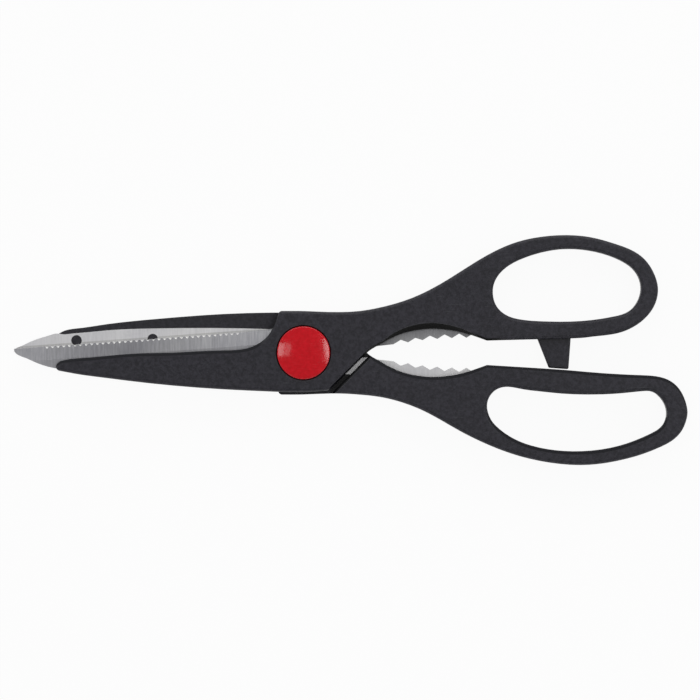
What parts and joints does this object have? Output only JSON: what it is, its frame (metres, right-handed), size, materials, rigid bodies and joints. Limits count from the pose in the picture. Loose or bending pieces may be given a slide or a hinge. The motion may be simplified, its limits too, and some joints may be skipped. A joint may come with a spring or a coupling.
{
  "type": "kitchen shears",
  "caption": "Kitchen shears: two steel blades in moulded finger-loop handles, turning on a bolted pivot under red caps, with a toothed gripping jaw between the handles.",
  "frame": {"origin": "on the pivot axis, in the plane that the shears rest on", "axes": "+X along the shears from the blade tips to the finger loops, +Y towards the loop of the front half, +Z from the rear half up to the front half along the pivot axis"},
  "size_m": [0.2101, 0.0717, 0.0111],
  "materials": {
    "blade_steel": "ground, with cross grinding marks",
    "pivot_steel": "plain turned steel",
    "handle_plastic": "fine matt moulded texture",
    "cap_plastic": "glossy moulded"
  },
  "bodies": {
    "rear_half": {"rear_blade": "blade_steel", "rear_handle": "handle_plastic", "pivot_bolt": "pivot_steel", "spring_washer": "pivot_steel", "pivot_nut": "pivot_steel", "rear_cap": "cap_plastic"},
    "front_half": {"front_blade": "blade_steel", "front_handle": "handle_plastic", "thrust_washer": "pivot_steel", "front_cap": "cap_plastic"}
  },
  "joints": [
    {"name": "blade_pivot", "type": "hinge", "parent": "rear_half", "child": "front_half", "pos_m": [0, 0, 0.005], "axis": [0, 0, 1], "range_deg": [0, 64]}
  ]
}
